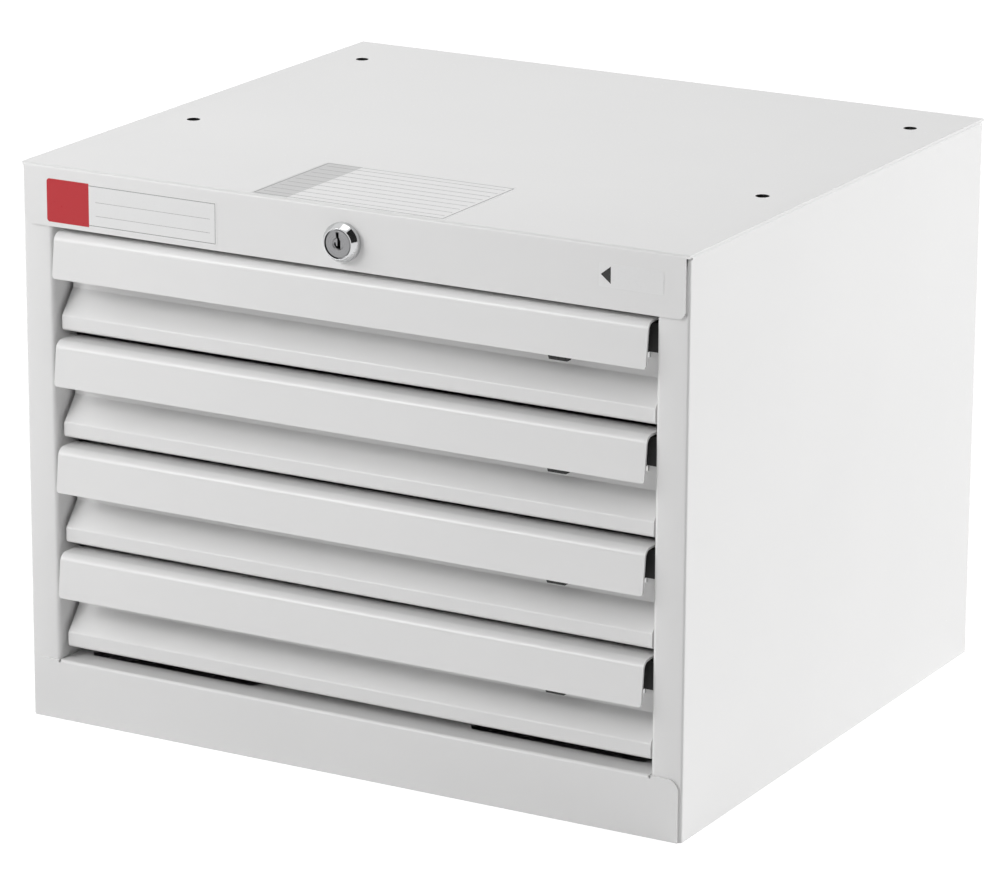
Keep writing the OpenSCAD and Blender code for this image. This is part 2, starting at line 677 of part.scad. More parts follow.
module lock_cam() {
    color(steel) difference() {
        union() {
            rod_y(0, cam_y, lock_z, 18, cam_t);
            translate([0, 0, lock_z]) rotate([0, -pin_a, 0]) {
                block([0, cam_y, -5], [cam_r + 1, cam_y + cam_t, 5]);
                rod_y(cam_r + 1, cam_y, 0, 10, cam_t);
                rod_y(cam_r, cam_y + cam_t / 2, 0, pin_d, lockbar_y + lockbar_t + 0.8 - cam_y - cam_t / 2);
            }
        }
        block([-3.7, cam_y - 1, lock_z - 3.7], [3.7, cam_y + cam_t + 0.1, lock_z + 3.7]);
    }
}

module lock_cam_screw() {
    color(steel) difference() {
        union() {
            rod_y(0, cam_y + cam_t, lock_z, 8.8, 1.2);
            rod_y(0, barrel_l - 6, lock_z, 3.6, cam_y + cam_t + 0.5 - barrel_l + 6);
        }
        block([-3, cam_y + cam_t + 0.6, lock_z - 0.5], [3, cam_y + cam_t + 2, lock_z + 0.5]);
    }
}

// Flat bar: an arm from the cam along the header, and an upright behind the right stile with a tooth for each drawer
module lock_bar() {
    arm_z0 = lock_z - 0.5;
    arm_z1 = lock_z + 12.5;
    color(steel) along_y(lockbar_y, lockbar_t) difference() {
        union() {
            translate([pin_x - 8, arm_z0]) square([lockbar_x1 - pin_x + 8, arm_z1 - arm_z0]);
            translate([lockbar_x0, lockbar_z0]) square([lockbar_x1 - lockbar_x0, arm_z1 - lockbar_z0]);
            for (n = [1 : drawer_count])
                translate([tooth_x, top_of(n) - lug_drop - lug_h]) square([lockbar_x0 - tooth_x + 1, lug_h]);
        }
        // Upright slot for the cam's pin, which swings by a quarter turn
        translate([pin_x - pin_d / 2 - 0.45, lock_z + pin_x - pin_d / 2 - 0.5])
            square([pin_d + 0.9, cam_r - pin_x + pin_d + 1]);
        for (x = stud_x) translate([x - stud_d / 2 - slack, lock_z + stud_up - stud_d / 2 - slack])
            square([lock_move + stud_d + 2 * slack, stud_d + 2 * slack]);
    }
}

// Two studs hung from the top for the arm, and a channel on the side wall for the foot of the bar
module lock_bar_guides() {
    t = bar_guide_t;
    y = lockbar_y + lockbar_t + slack;
    stud_y = lockbar_y - slack - stud_head_t;
    color(steel) {
        for (x = stud_x) union() {
            translate([x, 0, 0]) rotate([90, 0, 90]) linear_extrude(16, center = true) polygon(folded([
                [y + t / 2, lock_z], [y + t / 2, body_h - sheet - t / 2],
                [y + 15, body_h - sheet - t / 2]], t, 0.8 + t / 2));
            rod_y(x, stud_y, lock_z + stud_up, stud_d, y + t / 2 - stud_y);
            rod_y(x, stud_y, lock_z + stud_up, stud_head_d, stud_head_t);
        }
        translate([0, 0, lockbar_z0 - 4]) linear_extrude(16) polygon(folded([
            [open_x + tooth_in, lockbar_y - bar_guide_gap - t / 2],
            [wall_in - t / 2, lockbar_y - bar_guide_gap - t / 2],
            [wall_in - t / 2, lockbar_y + lockbar_t + bar_guide_gap + t / 2],
            [open_x + tooth_in, lockbar_y + lockbar_t + bar_guide_gap + t / 2]], t, guide_bend + t / 2));
    }
}

placed() top_panel();
placed() side_panel_left();
placed() side_panel_right();
placed() base_rail();
placed() floor_panel();
placed() back_panel();
placed() slide_uprights();
placed() slide_cabinet_members();
placed() lock_barrel();
placed() lock_nut();
placed() lock_bar_guides();
placed() lock_plug();
placed() lock_cam();
placed() lock_cam_screw();
placed() lock_bar();
for (n = [1 : drawer_count]) {
    placed() drawer_front(n);
    placed() drawer_tray(n);
    placed() drawer_pull(n);
    placed() drawer_latch(n);
    placed() drawer_latch_guides(n);
    placed() drawer_latch_spring(n);
    placed() drawer_slide_members(n);
    placed() drawer_slide_middles(n);
    placed() drawer_ball_cages_outer(n);
    placed() drawer_ball_cages_inner(n);
}
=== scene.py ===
"""White van drawer cabinet: the CAD frame with finishes, fine edges, springs, rivets, labels and light."""

import json
import math

import bmesh
import bpy
from mathutils import Matrix, Vector

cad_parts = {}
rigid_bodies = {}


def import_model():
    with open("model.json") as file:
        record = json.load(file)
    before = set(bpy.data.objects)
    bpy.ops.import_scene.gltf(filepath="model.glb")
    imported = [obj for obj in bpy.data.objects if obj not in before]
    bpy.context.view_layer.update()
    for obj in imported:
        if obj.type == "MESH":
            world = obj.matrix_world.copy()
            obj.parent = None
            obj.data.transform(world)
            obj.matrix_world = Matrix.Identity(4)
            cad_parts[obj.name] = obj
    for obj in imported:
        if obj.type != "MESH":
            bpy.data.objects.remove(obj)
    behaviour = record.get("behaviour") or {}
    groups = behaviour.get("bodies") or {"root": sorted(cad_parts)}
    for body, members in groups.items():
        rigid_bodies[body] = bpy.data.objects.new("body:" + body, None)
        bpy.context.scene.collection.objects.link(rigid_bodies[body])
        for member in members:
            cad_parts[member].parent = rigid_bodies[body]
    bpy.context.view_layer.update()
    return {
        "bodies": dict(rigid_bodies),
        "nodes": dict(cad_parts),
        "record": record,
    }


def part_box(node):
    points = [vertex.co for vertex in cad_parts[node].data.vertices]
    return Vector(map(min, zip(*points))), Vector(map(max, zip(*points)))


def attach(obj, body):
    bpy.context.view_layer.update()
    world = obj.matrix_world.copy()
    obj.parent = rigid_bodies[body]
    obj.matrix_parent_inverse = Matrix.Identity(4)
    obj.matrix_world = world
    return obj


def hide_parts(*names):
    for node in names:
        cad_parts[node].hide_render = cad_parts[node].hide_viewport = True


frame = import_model()
MM = 0.001

# Where the cabinet is in the frame
top_low, top_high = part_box("top_panel")
FACE_Y = top_low.y
ROOF_Z = top_high.z
HALF_W = top_high.x
lock_low, lock_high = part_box("lock_barrel")
LOCK = Vector(((lock_low.x + lock_high.x) / 2, lock_low.y, (lock_low.z + lock_high.z) / 2))
DRAWERS = [name for name in frame["bodies"] if name.startswith("drawer_") and name.count("_") == 1]
TOP_BOLTS = next(mount for mount in frame["record"]["mounts"] if mount["name"] == "top_bolts")
SLOT_OF = {part["node"]: part["material_slot"] for part in frame["record"]["subparts"]}
BODY_OF = {node: body for body, nodes in frame["record"]["behaviour"]["bodies"].items() for node in nodes}

# The lock plug's face: how deep it is dished, and the room that its key slot takes, where its walls get
# painted shade
DISH_DEPTH, KEYWAY_DEPTH, KEYWAY_R = 0.9 * MM, 14 * MM, 7.4 * MM

# Sheets, and how far their cut edges and those of the hardware are rounded
SHEET_T, TRAY_T = 1.5 * MM, 1.2 * MM
SHEET_EDGE, TRAY_EDGE, LATCH_EDGE = 0.35 * MM, 0.25 * MM, 0.5 * MM
HARDWARE_EDGE, BARREL_EDGE, PLUG_EDGE = 0.15 * MM, 0.06 * MM, 0.12 * MM
# An edge that turns by more than this is rounded
SHARP = math.radians(40)
# Vertices this near are joined, and faces that turn by less than this become one
JOIN_DIST, FLAT = 2e-6, math.radians(0.4)
# The outside radius of the bend between a stile and its side, and the radius that it is drawn with
SOFT_R, TIGHT_R = 3.0 * MM, 1.7 * MM
LEFT_CORNER, RIGHT_CORNER = (-HALF_W, FACE_Y + SHEET_T), (HALF_W, FACE_Y + SHEET_T)
# The radius of the top's front bend, and of its front corners in plan
ROOF_R = 2.0 * MM
# The end of a finger tab, and how much further down it is drawn
TAB_END, TAB_MORE = 3.5 * MM, 1.0 * MM
# How near to a round or an end a vertex is when it belongs to it
TOUCH = 0.02 * MM
# How far past a bolt hole's radius the painted shade on its wall reaches
HOLE_SLACK_MM = 0.06

# Latch springs and the rivets of the slides
COILS, WIRE_D, COIL_R = 9, 0.9 * MM, 3.6 * MM
CLOSED_PITCH, OPEN_PITCH = 1.4 * MM, 4.9 * MM
TURN_POINTS, WIRE_SIDES = 28, 12
RIVETS, RIVET_R, RIVET_H, RIVET_INSET = 4, 3.2 * MM, 1.1 * MM, 22 * MM
HEAD_SEGMENTS, HEAD_RINGS = 24, 14

# Labels
FILM_T = 0.12 * MM
ROUND_STEPS = 6
BORDER_IN, RULE_STEP = 1 * MM, 9 * MM
RED_INK = (0.50, 0.012, 0.02, 1.0)

# Light: the sky that surfaces see, the floor, and the black card for the chrome
SKY = 0.21
FLOOR_REACH, FLOOR_DROP = 12.0, 0.2 * MM
FLOOR_GREY, FLOOR_GLOW, FLOOR_GLOW_SHARE = 0.82, 1.32, 0.72
FLAG_R, FLAG_HALF, FLAG_ARC = 0.9, 0.32, (2, 18, 34, 50, 66)

# The photograph's width and its camera
IMAGE_W = 1000
FOCAL_PX = 5098.8
SENSOR_MM = 36.0
AZIMUTH, ELEVATION, ROLL = math.radians(29.21), math.radians(16.5), math.radians(0.32)
# The foot of the front's plane, at mid width, and its place in the camera's right, up and forward directions
FOOT = Vector((0, FACE_Y, 0))
FOOT_SEEN = Vector((-93.9, -202.7, 3094.4)) * MM


class Value:
    """A node socket that adds Math nodes when it is used in arithmetic."""

    def __init__(self, tree, socket):
        self.tree = tree
        self.socket = socket

    def math(self, operation, first, second=0.0):
        node = self.tree.nodes.new("ShaderNodeMath")
        node.operation = operation
        for socket, value in zip(node.inputs, (first, second)):
            put(self.tree, socket, value)
        return Value(self.tree, node.outputs[0])

    def __add__(self, other):
        return self.math("ADD", self, other)

    __radd__ = __add__

    def __sub__(self, other):
        return self.math("SUBTRACT", self, other)

    def __rsub__(self, other):
        return self.math("SUBTRACT", other, self)

    def __mul__(self, other):
        return self.math("MULTIPLY", self, other)

    __rmul__ = __mul__

    def __truediv__(self, other):
        return self.math("DIVIDE", self, other)

    def __abs__(self):
        return self.math("ABSOLUTE", self)

    def __lt__(self, other):
        return self.math("LESS_THAN", self, other)

    def __gt__(self, other):
        return self.math("GREATER_THAN", self, other)

    def root(self):
        return self.math("SQRT", self)

    def sine(self):
        return self.math("SINE", self)

    def cosine(self):
        return self.math("COSINE", self)

    def at_least(self, other):
        return self.math("MAXIMUM", self, other)

    def at_most(self, other):
        return self.math("MINIMUM", self, other)

    def within(self, low, high):
        """1 between low and high, else 0."""
        return (self > low) * (self < high)


def put(tree, socket, value):
    """A number, colour or link into a socket."""
    if isinstance(value, Value):
        tree.links.new(value.socket, socket)
    else:
        socket.default_value = value


class Graph:
    """A node tree with one method that adds any node."""

    def __init__(self, tree):
        self.tree = tree

    def add(self, kind, settings=None, inputs=None, output=0):
        node = self.tree.nodes.new(kind)
        for key, value in (settings or {}).items():
            setattr(node, key, value)
        for key, value in (inputs or {}).items():
            put(self.tree, node.inputs[key], value)
        return Value(self.tree, node.outputs[output]) if node.outputs else None


class Finish(Graph):
    """The nodes of one material."""

    def __init__(self, name):
        self.material = bpy.data.materials.new(name)
        self.material.use_nodes = True
        super().__init__(self.material.node_tree)
        self.tree.nodes.clear()

    def place(self, scale=(1, 1, 1), middle=(0, 0, 0)):
        """Object coordinates, moved so that middle is the origin, then scaled."""
        coords = self.add("ShaderNodeTexCoord", output="Object")
        moved = self.add("ShaderNodeVectorMath", {"operation": "SUBTRACT"}, {0: coords, 1: middle})
        return self.add("ShaderNodeVectorMath", {"operation": "MULTIPLY"}, {0: moved, 1: scale})

    def axes(self, place):
        node = self.tree.nodes.new("ShaderNodeSeparateXYZ")
        put(self.tree, node.inputs[0], place)
        return [Value(self.tree, socket) for socket in node.outputs]

    def noise(self, place, scale, detail=2.0):
        return self.add("ShaderNodeTexNoise", {}, {"Vector": place, "Scale": scale, "Detail": detail})

    def blend(self, factor, first, second):
        return self.add("ShaderNodeMix", {"data_type": "RGBA"}, {0: factor, 6: first, 7: second}, output=2)

    def bump(self, height, strength, distance):
        return self.add("ShaderNodeBump", {}, {"Strength": strength, "Distance": distance, "Height": height})

    def surface(self, inputs):
        shader = self.add("ShaderNodeBsdfPrincipled", {}, inputs)
        self.add("ShaderNodeOutputMaterial", {}, {"Surface": shader})
        return self.material


def grey(level, warmth=0.0):
    return (level + warmth, level, level - warmth, 1.0)


def powder_coat(name, painted_shade=None):
    """Satin white powder coat with a fine orange peel and a faint cloud, and near-black painted shade where
    the given mask is 1.
    """
    finish = Finish(name)
    place = finish.place()
    peel = finish.noise(place, 900.0, 3.0)
    flow = finish.noise(place, 260.0, 1.0)
    cloud = finish.noise(place, 9.0, 2.0)
    tone = finish.blend(cloud, grey(0.80, 0.001), grey(0.83, 0.003))
    return finish.surface({
        # Painted shade: near black where the mask is 1, in place of the white coat.
        "Base Color": finish.blend(painted_shade(finish), tone, grey(0.03)) if painted_shade else tone,
        "Roughness": 0.2 + 0.1 * peel,
        "Normal": finish.bump(peel * 0.6 + flow * 0.4, 0.06, 0.0004),
    })


def bolt_hole_painted_shade(finish):
    """1 on the walls of the bolt holes, where shade is painted in near black."""
    dims = TOP_BOLTS["dims"]
    x, y, _ = finish.axes(finish.place(middle=TOP_BOLTS["pos_m"]))
    off_x = abs(x) - dims["spacing_x_mm"] * MM / 2
    off_y = abs(y) - dims["spacing_y_mm"] * MM / 2
    return (off_x * off_x + off_y * off_y).root() < (dims["hole_r_mm"] + HOLE_SLACK_MM) * MM


def zinc_plate():
    """Bright zinc on rolled strip: grain along the strip and a faint blue and straw passivation."""
    finish = Finish("zinc_plate")
    grain = finish.noise(finish.place((1.0, 0.02, 1.0)), 1400.0, 2.0)
    tint = finish.noise(finish.place(), 38.0, 3.0)
    return finish.surface({
        "Base Color": finish.blend(tint, (0.60, 0.615, 0.64, 1.0), (0.66, 0.65, 0.61, 1.0)),
        "Metallic": 1.0,
        "Roughness": 0.26 + 0.18 * grain,
        "Normal": finish.bump(grain, 0.12, 0.0002),
    })


def chrome_plate():
    """Polished chrome with faint handling marks."""
    finish = Finish("chrome_plate")
    smear = finish.noise(finish.place(), 420.0, 4.0)
    return finish.surface({
        "Base Color": (0.60, 0.605, 0.61, 1.0),
        "Metallic": 1.0,
        "Roughness": 0.04 + 0.08 * smear,
    })


def turned_face():
    """Satin plug face with the fine rings that turning leaves, and near-black painted shade on the walls of
    the key slot.
    """
    finish = Finish("turned_plug_face")
    x, y, z = finish.axes(finish.place(middle=LOCK))
    radius = (x * x + z * z).root()
    along = {"W": radius, "Scale": 5200.0, "Detail": 2.0}
    rings = finish.add("ShaderNodeTexNoise", {"noise_dimensions": "1D"}, along)
    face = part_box("lock_plug")[0].y - LOCK.y
    # Painted shade: the walls of the key slot, deeper than the dish, are near black and not metal.
    keyway_shade = y.within(face + DISH_DEPTH, face + KEYWAY_DEPTH) * (radius < KEYWAY_R)
    return finish.surface({
        "Base Color": finish.blend(keyway_shade, (0.29, 0.29, 0.295, 1.0), grey(0.02)),
        "Metallic": 1.0 - keyway_shade,
        "Roughness": 0.22 + 0.2 * rings,
        "Normal": finish.bump(rings, 0.35, 0.0002),
    })


def black_nylon():
    """Moulded black nylon with a fine spark texture and paler rubbed patches."""
    finish = Finish("black_nylon")
    place = finish.place()
    spark = finish.noise(place, 1800.0, 2.0)
    rubbed = finish.noise(place, 60.0, 2.0)
    return finish.surface({
        "Base Color": finish.blend(rubbed, grey(0.012), grey(0.022)),
        "Roughness": 0.42 + 0.2 * spark,
        "Normal": finish.bump(spark, 0.25, 0.0003),
    })


def spring_wire():
    """Drawn spring wire with a thin oil film."""
    finish = Finish("spring_wire")
    drawn = finish.noise(finish.place((0.2, 1.0, 1.0)), 2600.0, 2.0)
    return finish.surface({
        "Base Color": finish.blend(drawn, grey(0.34), grey(0.46, 0.01)),
        "Metallic": 1.0,
        "Roughness": 0.24 + 0.2 * drawn,
    })


def label_film(name, printed):
    """White film; printed(finish, white) gives its colour from the unprinted film's."""
    finish = Finish(name)
    fibre = finish.noise(finish.place(), 700.0, 3.0)
    return finish.surface({
        "Base Color": printed(finish, finish.blend(fibre, grey(0.80), grey(0.84))),
        "Roughness": 0.24 + 0.12 * fibre,
        "Normal": finish.bump(fibre, 0.05, 0.0002),
    })


def contents_tag(finish, white):
    """A red end, two writing lines and a thin border."""
    u, _, v = finish.axes(finish.place(middle=TAG.middle))
    framed = finish.blend(TAG.border(u, v, 0.4 * MM), white, grey(0.25))
    inked = finish.blend(u < -0.5 * TAG.half_u, framed, RED_INK)
    lines = (abs(v - 2.5 * MM) < 0.12 * MM).at_least(abs(v + 6 * MM) < 0.12 * MM)
    return finish.blend(lines * u.within(-0.42 * TAG.half_u, 0.92 * TAG.half_u), inked, grey(0.32))


def packing_list(finish, white):
    """A grey column, a stack of ruled lines and a border."""
    u, v, _ = finish.axes(finish.place(middle=LIST.middle))
    rule = finish.add("ShaderNodeMath", {"operation": "FRACT"}, {0: v / RULE_STEP + 0.5})
    ruled = (abs(rule - 0.5) < 0.04) * (abs(u) < 0.94 * LIST.half_u) * (abs(v) < 0.9 * LIST.half_v)
    column = finish.blend(u < -0.62 * LIST.half_u, white, grey(0.55))
    lines = ruled.at_least(LIST.border(u, v, 0.9 * MM))
    return finish.blend(lines, column, grey(0.22))


def left_arrow(finish, white):
    """A plain black arrowhead to the left, the way that a finger pushes the latches."""
    u, _, v = finish.axes(finish.place(middle=ARROW_TIP))
    head = u.within(0.0, ARROW_L) * (abs(v) < u * (ARROW_H / 2 / ARROW_L))
    return finish.blend(head, white, grey(0.012))


class Label:
    """A rounded film: its middle, half sizes, corner radius and the two directions that it lies in."""

    def __init__(self, low, high, corner, lies):
        self.middle = (Vector(low) + Vector(high)) / 2
        self.lies = [Vector(axis) for axis in lies]
        self.half_u, self.half_v = (abs((Vector(high) - Vector(low)).dot(axis)) / 2 for axis in self.lies)
        self.corner = corner

    def border(self, u, v, width):
        """1 on a line of that width, a little inside the edge."""
        past = (abs(u) - (self.half_u - BORDER_IN)).at_least(abs(v) - (self.half_v - BORDER_IN))
        return past.within(-width, 0.0)

    def made(self, name, finish):
        across, upward = self.lies
        outward = across.cross(upward)
        outline = []
        for corner in range(4):
            turn = math.radians(90 * corner)
            sign_u, sign_v = (1, 1, -1, -1)[corner], (1, -1, -1, 1)[corner]
            centre = self.middle + across * sign_u * (self.half_u - self.corner)
            centre += upward * sign_v * (self.half_v - self.corner)
            for step in range(ROUND_STEPS + 1):
                angle = turn + math.radians(90 * step / ROUND_STEPS)
                outline.append(centre + (upward * math.cos(angle) + across * math.sin(angle)) * self.corner)
        shell = bmesh.new()
        face = shell.faces.new([shell.verts.new(point) for point in outline])
        raised = bmesh.ops.extrude_face_region(shell, geom=[face])
        upper = [point for point in raised["geom"] if isinstance(point, bmesh.types.BMVert)]
        bmesh.ops.translate(shell, vec=outward * FILM_T, verts=upper)
        bmesh.ops.recalc_face_normals(shell, faces=shell.faces)
        data = bpy.data.meshes.new(name)
        shell.to_mesh(data)
        shell.free()
        data.materials.append(finish)
        piece = new_object(name, data)
        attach(piece, "cabinet")


# Labels on the header and on the top, by their opposite corners
FRONT = ((1, 0, 0), (0, 0, 1))
UPPER = ((1, 0, 0), (0, 1, 0))
TAG = Label((-0.210, FACE_Y, 0.3205), (-0.088, FACE_Y, 0.3475), 2 * MM, FRONT)
LIST = Label((-0.066, FACE_Y + 0.0035, ROOF_Z), (0.066, FACE_Y + 0.0915, ROOF_Z), 1 * MM, UPPER)
ARROW = Label((0.1705, FACE_Y, 0.3305), (0.2125, FACE_Y, 0.3447), 1 * MM, FRONT)
ARROW_TIP = Vector((0.1718, FACE_Y, 0.3378))
ARROW_L, ARROW_H = 6.5 * MM, 10.3 * MM

FINISHES = {
    "white_powder_coat": powder_coat("white_powder_coat"),
    "zinc_plated_steel": zinc_plate(),
    "chrome_plate": chrome_plate(),
    "black_nylon": black_nylon(),
    "spring_steel": spring_wire(),
}


def new_object(name, mesh):
    piece = bpy.data.objects.new(name, mesh)
    bpy.context.scene.collection.objects.link(piece)
    return piece


class Form(Graph):
    """A Geometry Nodes tree with named sizes, whose result becomes a plain mesh."""

    def __init__(self, name, sizes):
        super().__init__(bpy.data.node_groups.new(name, "GeometryNodeTree"))
        sockets = self.tree.interface
        for key, value in sizes.items():
            kind = "NodeSocketInt" if isinstance(value, int) else "NodeSocketFloat"
            sockets.new_socket(name=key, in_out="INPUT", socket_type=kind).default_value = value
        sockets.new_socket(name="Mesh", in_out="OUTPUT", socket_type="NodeSocketGeometry")
        given = self.tree.nodes.new("NodeGroupInput")
        self.size = {key: Value(self.tree, given.outputs[key]) for key in sizes}

    def vector(self, x=0.0, y=0.0, z=0.0):
        return self.add("ShaderNodeCombineXYZ", {}, {0: x, 1: y, 2: z})

    def end(self, geometry, finish):
        whole = self.add("GeometryNodeRealizeInstances", {}, {0: geometry})
        smooth = self.add("GeometryNodeSetShadeSmooth", {}, {0: whole})
        coated = self.add("GeometryNodeSetMaterial", {}, {"Geometry": smooth, "Material": finish})
        self.add("NodeGroupOutput", {}, {0: coated})

    def piece(self, name, sizes):
        holder = new_object(name, bpy.data.meshes.new(name + "_holder"))
        modifier = holder.modifiers.new(name, "NODES")
        modifier.node_group = self.tree
        for item in self.tree.interface.items_tree:
            if item.in_out == "INPUT" and item.name in sizes:
                modifier[item.identifier] = sizes[item.name]
        graph = bpy.context.evaluated_depsgraph_get()
        data = bpy.data.meshes.new_from_object(holder.evaluated_get(graph))
        holder.modifiers.remove(modifier)
        holder.data = data
        return holder


def coil_spring_form():
    """One wire on a helix along X with a closed turn at each end."""
    form = Form("coil_spring", {
        "Coils": COILS, "Wire": WIRE_D, "Coil radius": COIL_R, "Closed pitch": CLOSED_PITCH,
        "Open pitch": OPEN_PITCH, "Start X": 0.0, "Axis Y": 0.0, "Axis Z": 0.0,
    })
    size = form.size
    line = form.add("GeometryNodeCurvePrimitiveLine")
    count = size["Coils"] * TURN_POINTS + 1
    points = form.add("GeometryNodeResampleCurve", {}, {"Curve": line, "Count": count})
    turns = form.add("GeometryNodeSplineParameter") * size["Coils"]
    closed = turns.at_most(1.0) + (turns - size["Coils"] + 1.0).at_least(0.0)
    opened = (turns - 1.0).at_least(0.0).at_most(size["Coils"] - 2.0)
    angle = turns * math.tau
    helix = form.add("GeometryNodeSetPosition", {}, {0: points, "Position": form.vector(
        size["Start X"] + closed * size["Closed pitch"] + opened * size["Open pitch"],
        size["Axis Y"] + size["Coil radius"] * angle.cosine(),
        size["Axis Z"] + size["Coil radius"] * angle.sine())})
    round_wire = {"Resolution": WIRE_SIDES, "Radius": size["Wire"] / 2}
    section = form.add("GeometryNodeCurvePrimitiveCircle", {}, round_wire)
    swept = {"Curve": helix, "Profile Curve": section, "Fill Caps": True}
    wire = form.add("GeometryNodeCurveToMesh", {}, swept)
    form.end(wire, FINISHES["spring_steel"])
    return form


def rivet_rows_form():
    """Domed rivet heads in a row along Y on the inside of both tray walls."""
    form = Form("rivet_rows", {
        "Count": RIVETS, "Step": 0.1, "Head radius": RIVET_R, "Head height": RIVET_H,
        "Wall X": 0.19, "First Y": 0.0, "Row Z": 0.0,
    })
    size = form.size
    ball_sizes = {"Segments": HEAD_SEGMENTS, "Rings": HEAD_RINGS, "Radius": size["Head radius"]}
    ball = form.add("GeometryNodeMeshUVSphere", {}, ball_sizes)
    flat = form.vector(size["Head height"] / size["Head radius"], 1.0, 1.0)
    head = form.add("GeometryNodeTransform", {}, {"Geometry": ball, "Scale": flat})
    both = form.tree.nodes.new("GeometryNodeJoinGeometry")
    for side in (-1.0, 1.0):
        row = form.add("GeometryNodeMeshLine", {}, {
            "Count": size["Count"],
            "Start Location": form.vector(size["Wall X"] * side, size["First Y"], size["Row Z"]),
            "Offset": form.vector(0.0, size["Step"], 0.0)})
        heads = form.add("GeometryNodeInstanceOnPoints", {}, {"Points": row, "Instance": head})
        put(form.tree, both.inputs[0], heads)
    form.end(Value(form.tree, both.outputs[0]), FINISHES["zinc_plated_steel"])
    return form


def merged_copy(node):
    """A CAD node's mesh as joined faces in place of loose triangles."""
    mesh = bmesh.new()
    mesh.from_mesh(frame["nodes"][node].data)
    bmesh.ops.remove_doubles(mesh, verts=mesh.verts, dist=JOIN_DIST)
    bmesh.ops.dissolve_limit(mesh, angle_limit=FLAT, verts=mesh.verts, edges=mesh.edges)
    data = bpy.data.meshes.new(node + "_fine")
    mesh.to_mesh(data)
    mesh.free()
    return data


def tighten(data, corner):
    """Draws an upright bend tighter: its two rounds shrink towards the sheet's sharp corner."""
    corner_x, corner_y = corner
    inward = -math.copysign(1, corner_x)
    for point in data.vertices:
        off = Vector(((point.co.x - corner_x) * inward, point.co.y - corner_y))
        from_centre = Vector((SOFT_R, SOFT_R)) - off
        if min(off) < -TOUCH or max(off) > SOFT_R + TOUCH:
            continue
        for soft, tight in ((SOFT_R, TIGHT_R), (SOFT_R - SHEET_T, TIGHT_R - SHEET_T)):
            if abs(from_centre.length - soft) < TOUCH:
                off = Vector((TIGHT_R, TIGHT_R)) - from_centre.normalized() * tight
                point.co.x = corner_x + off.x * inward
                point.co.y = corner_y + off.y
                break


def round_in_plan(data):
    """Rounds the two front corners of the top, seen from above, with the radius of its front bend."""
    for point in data.vertices:
        short = ROOF_R - (point.co.y - FACE_Y)
        if short > 0 and HALF_W - abs(point.co.x) < TOUCH:
            inset = ROOF_R - math.sqrt(max(ROOF_R ** 2 - short ** 2, 0))
            point.co.x -= math.copysign(inset, point.co.x)


def shape_top(data):
    """Fits the top's lugs to the tighter corners of the sides, and rounds its own."""
    tighten(data, LEFT_CORNER)
    tighten(data, RIGHT_CORNER)
    round_in_plan(data)


def lengthen_tab(data):
    """Draws a latch's finger tab a little longer, so that its end shows under the pull."""
    foot = min(point.co.z for point in data.vertices)
    for point in data.vertices:
        if point.co.z < foot + TAB_END:
            point.co.z -= TAB_MORE


def fine_edges(node, width, segments=3, reshape=None):
    """Puts a copy of a CAD node with rounded cut edges, reshaped where asked, in the node's place."""
    data = merged_copy(node)
    if reshape:
        reshape(data)
    data.materials.clear()
    data.materials.append(FINISHES[SLOT_OF[node]])
    data.shade_smooth()
    data.set_sharp_from_angle(angle=SHARP)
    piece = new_object(node + "_fine", data)
    bevel = piece.modifiers.new("edges", "BEVEL")
    bevel.width = width
    bevel.segments = segments
    bevel.limit_method = "ANGLE"
    bevel.angle_limit = SHARP
    bevel.harden_normals = True
    bevel.use_clamp_overlap = True
    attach(piece, BODY_OF[node])
    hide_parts(node)
    return piece


# Finishes and fine edges on the CAD pieces
for node in frame["nodes"]:
    frame["nodes"][node].data.materials.clear()
    frame["nodes"][node].data.materials.append(FINISHES[SLOT_OF[node]])
fine_edges("side_panel_left", SHEET_EDGE, reshape=lambda data: tighten(data, LEFT_CORNER))
fine_edges("side_panel_right", SHEET_EDGE, reshape=lambda data: tighten(data, RIGHT_CORNER))
fine_edges("base_rail", SHEET_EDGE)
fine_edges("back_panel", SHEET_EDGE)
top = fine_edges("top_panel", SHEET_EDGE, reshape=shape_top)
floor = fine_edges("floor_panel", SHEET_EDGE)
for drawer in DRAWERS:
    fine_edges(drawer + "_front", SHEET_EDGE)
    fine_edges(drawer + "_pull", SHEET_EDGE)
    fine_edges(drawer + "_tray", TRAY_EDGE, 2)
    fine_edges(drawer + "_latch", LATCH_EDGE, reshape=lengthen_tab)
    for part in ("_latch_guides", "_slide_members", "_slide_middles"):
        fine_edges(drawer + part, HARDWARE_EDGE, 2)
for node in ("slide_uprights", "slide_cabinet_members", "lock_bar", "lock_bar_guides", "lock_cam",
             "lock_nut"):
    fine_edges(node, HARDWARE_EDGE, 2)
# The top and floor panels get near-black painted shade on the walls of their bolt holes.
hole_shaded_coat = powder_coat("white_powder_coat_punched", bolt_hole_painted_shade)
for panel in (top, floor):
    panel.data.materials[0] = hole_shaded_coat
fine_edges("lock_barrel", BARREL_EDGE, 2)
plug = fine_edges("lock_plug", PLUG_EDGE, 2)
plug.data.materials.clear()
plug.data.materials.append(turned_face())

